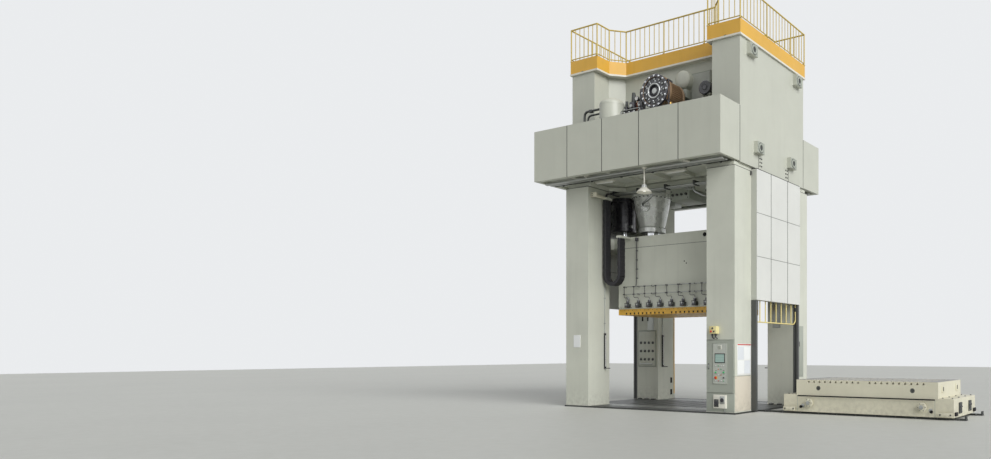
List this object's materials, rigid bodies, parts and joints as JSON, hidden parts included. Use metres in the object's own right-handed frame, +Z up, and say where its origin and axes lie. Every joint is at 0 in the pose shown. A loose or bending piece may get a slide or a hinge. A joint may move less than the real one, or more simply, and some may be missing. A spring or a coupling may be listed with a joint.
{
  "type": "hydraulic press",
  "caption": "Four-column hydraulic press with a hollow crown, a driven slide with die clamps, side guards, a service deck and a bolster that rolls out to the side.",
  "frame": {"origin": "on the floor, midway between the four columns, on the underside of the bed plate", "axes": "+X along the front towards the parked bolster, +Y from the front to the back, +Z up"},
  "size_m": [11.92, 5.653, 11.1129],
  "materials": {
    "machine_paint": "grey-green machine enamel, satin",
    "pale_paint": "pale cream enamel, satin",
    "cabinet_paint": "darker grey enamel, satin",
    "yellow_paint": "safety yellow enamel, satin",
    "rail_paint": "pale yellow enamel, worn",
    "guard_paint": "light yellow enamel, satin",
    "black_paint": "black enamel, semi-gloss",
    "brown_paint": "brown primer, satin",
    "white_paint": "off-white enamel, satin",
    "ground_steel": "ground and oiled steel",
    "dark_steel": "dark rolled steel, matt",
    "chain_plastic": "black moulded nylon",
    "screen_glass": "glass over a grey-green display",
    "red_plastic": "red moulded plastic",
    "green_plastic": "green moulded plastic"
  },
  "bodies": {
    "frame": {"column_front_left": "machine_paint", "column_front_right": "machine_paint", "column_back_left": "machine_paint", "column_back_right": "machine_paint", "crown": "machine_paint", "crown_bottom_plate": "machine_paint", "main_cylinder_left": "machine_paint", "main_cylinder_right": "machine_paint", "chain_bracket": "machine_paint", "deck_frame": "machine_paint", "fascia_front": "machine_paint", "fascia_back": "machine_paint", "fascia_left": "machine_paint", "crown_top_plate": "pale_paint", "socket_box": "pale_paint", "platform_band": "yellow_paint", "handrail": "rail_paint", "junction_box": "guard_paint", "balance_cylinder_left": "black_paint", "balance_cylinder_right": "black_paint", "blower": "black_paint", "light_curtain_front_left": "black_paint", "light_curtain_front_right": "black_paint", "light_curtain_back_left": "black_paint", "light_curtain_back_right": "black_paint", "pump_motor": "brown_paint", "side_cover_left": "white_paint", "side_cover_right": "white_paint", "oil_tank": "white_paint", "work_lamp": "white_paint", "bed_plate": "dark_steel", "tie_rod_front_left": "dark_steel", "tie_rod_front_right": "dark_steel", "tie_rod_back_left": "dark_steel", "tie_rod_back_right": "dark_steel", "service_deck": "dark_steel", "valve_block": "dark_steel", "tank_pipe": "dark_steel", "cable_chain": "chain_plastic"},
    "slide": {"slide": "machine_paint", "slide_head": "machine_paint", "slide_plate": "yellow_paint", "main_rod_left": "ground_steel", "main_rod_right": "ground_steel", "balance_rod_left": "ground_steel", "balance_rod_right": "ground_steel", "die_clamps": "dark_steel"},
    "guard_left": {"side_guard_left": "guard_paint"},
    "guard_right": {"side_guard_right": "guard_paint"},
    "bolster": {"bolster_plate": "machine_paint", "bolster_carriage": "machine_paint"},
    "wheels_left": {"wheel_set_left": "dark_steel"},
    "wheels_right": {"wheel_set_right": "dark_steel"},
    "door": {"cabinet_door": "cabinet_paint", "operator_panel": "pale_paint", "touch_screen": "screen_glass"},
    "start_button_left": {"start_button_left": "green_plastic"},
    "start_button_right": {"start_button_right": "green_plastic"},
    "stop_button": {"stop_button": "red_plastic"},
    "selector": {"selector_switch": "black_paint"}
  },
  "joints": [
    {"name": "slide_travel", "type": "slide", "parent": "frame", "child": "slide", "axis": [0, 0, 1], "range_m": [-1.2, 0], "deforming": ["cable_chain"]},
    {"name": "guard_left_travel", "type": "slide", "parent": "frame", "child": "guard_left", "axis": [0, 0, 1], "range_m": [-2.84, 0]},
    {"name": "guard_right_travel", "type": "slide", "parent": "frame", "child": "guard_right", "axis": [0, 0, 1], "range_m": [-2.2, 0]},
    {"name": "bolster_travel", "type": "slide", "parent": "frame", "child": "bolster", "axis": [1, 0, 0], "range_m": [-5.96, 0]},
    {"name": "wheels_left_roll", "type": "hinge", "parent": "bolster", "child": "wheels_left", "pos_m": [4.29, 0, 0.2123], "axis": [0, 1, 0], "range_deg": [-1990, 0]},
    {"name": "wheels_right_roll", "type": "hinge", "parent": "bolster", "child": "wheels_right", "pos_m": [7.63, 0, 0.2123], "axis": [0, 1, 0], "range_deg": [-1990, 0]},
    {"name": "door_hinge", "type": "hinge", "parent": "frame", "child": "door", "pos_m": [2.88, -2.1103, 1.22], "axis": [0, 0, 1], "range_deg": [0, 110]},
    {"name": "start_button_left_press", "type": "slide", "parent": "door", "child": "start_button_left", "axis": [0, 1, 0], "range_m": [0, 0.005], "stiffness_N_per_m": 600},
    {"name": "start_button_right_press", "type": "slide", "parent": "door", "child": "start_button_right", "axis": [0, 1, 0], "range_m": [0, 0.005], "stiffness_N_per_m": 600},
    {"name": "stop_button_press", "type": "slide", "parent": "door", "child": "stop_button", "axis": [0, 1, 0], "range_m": [0, 0.005], "stiffness_N_per_m": 600},
    {"name": "selector_turn", "type": "hinge", "parent": "door", "child": "selector", "pos_m": [2.6, -2.1226, 0.93], "axis": [0, 1, 0], "range_deg": [-45, 45]}
  ],
  "couplings": [
    {"joint": "wheels_left_roll", "follows": "bolster_travel", "rad_per_m": 5.814},
    {"joint": "wheels_right_roll", "follows": "bolster_travel", "rad_per_m": 5.814}
  ]
}
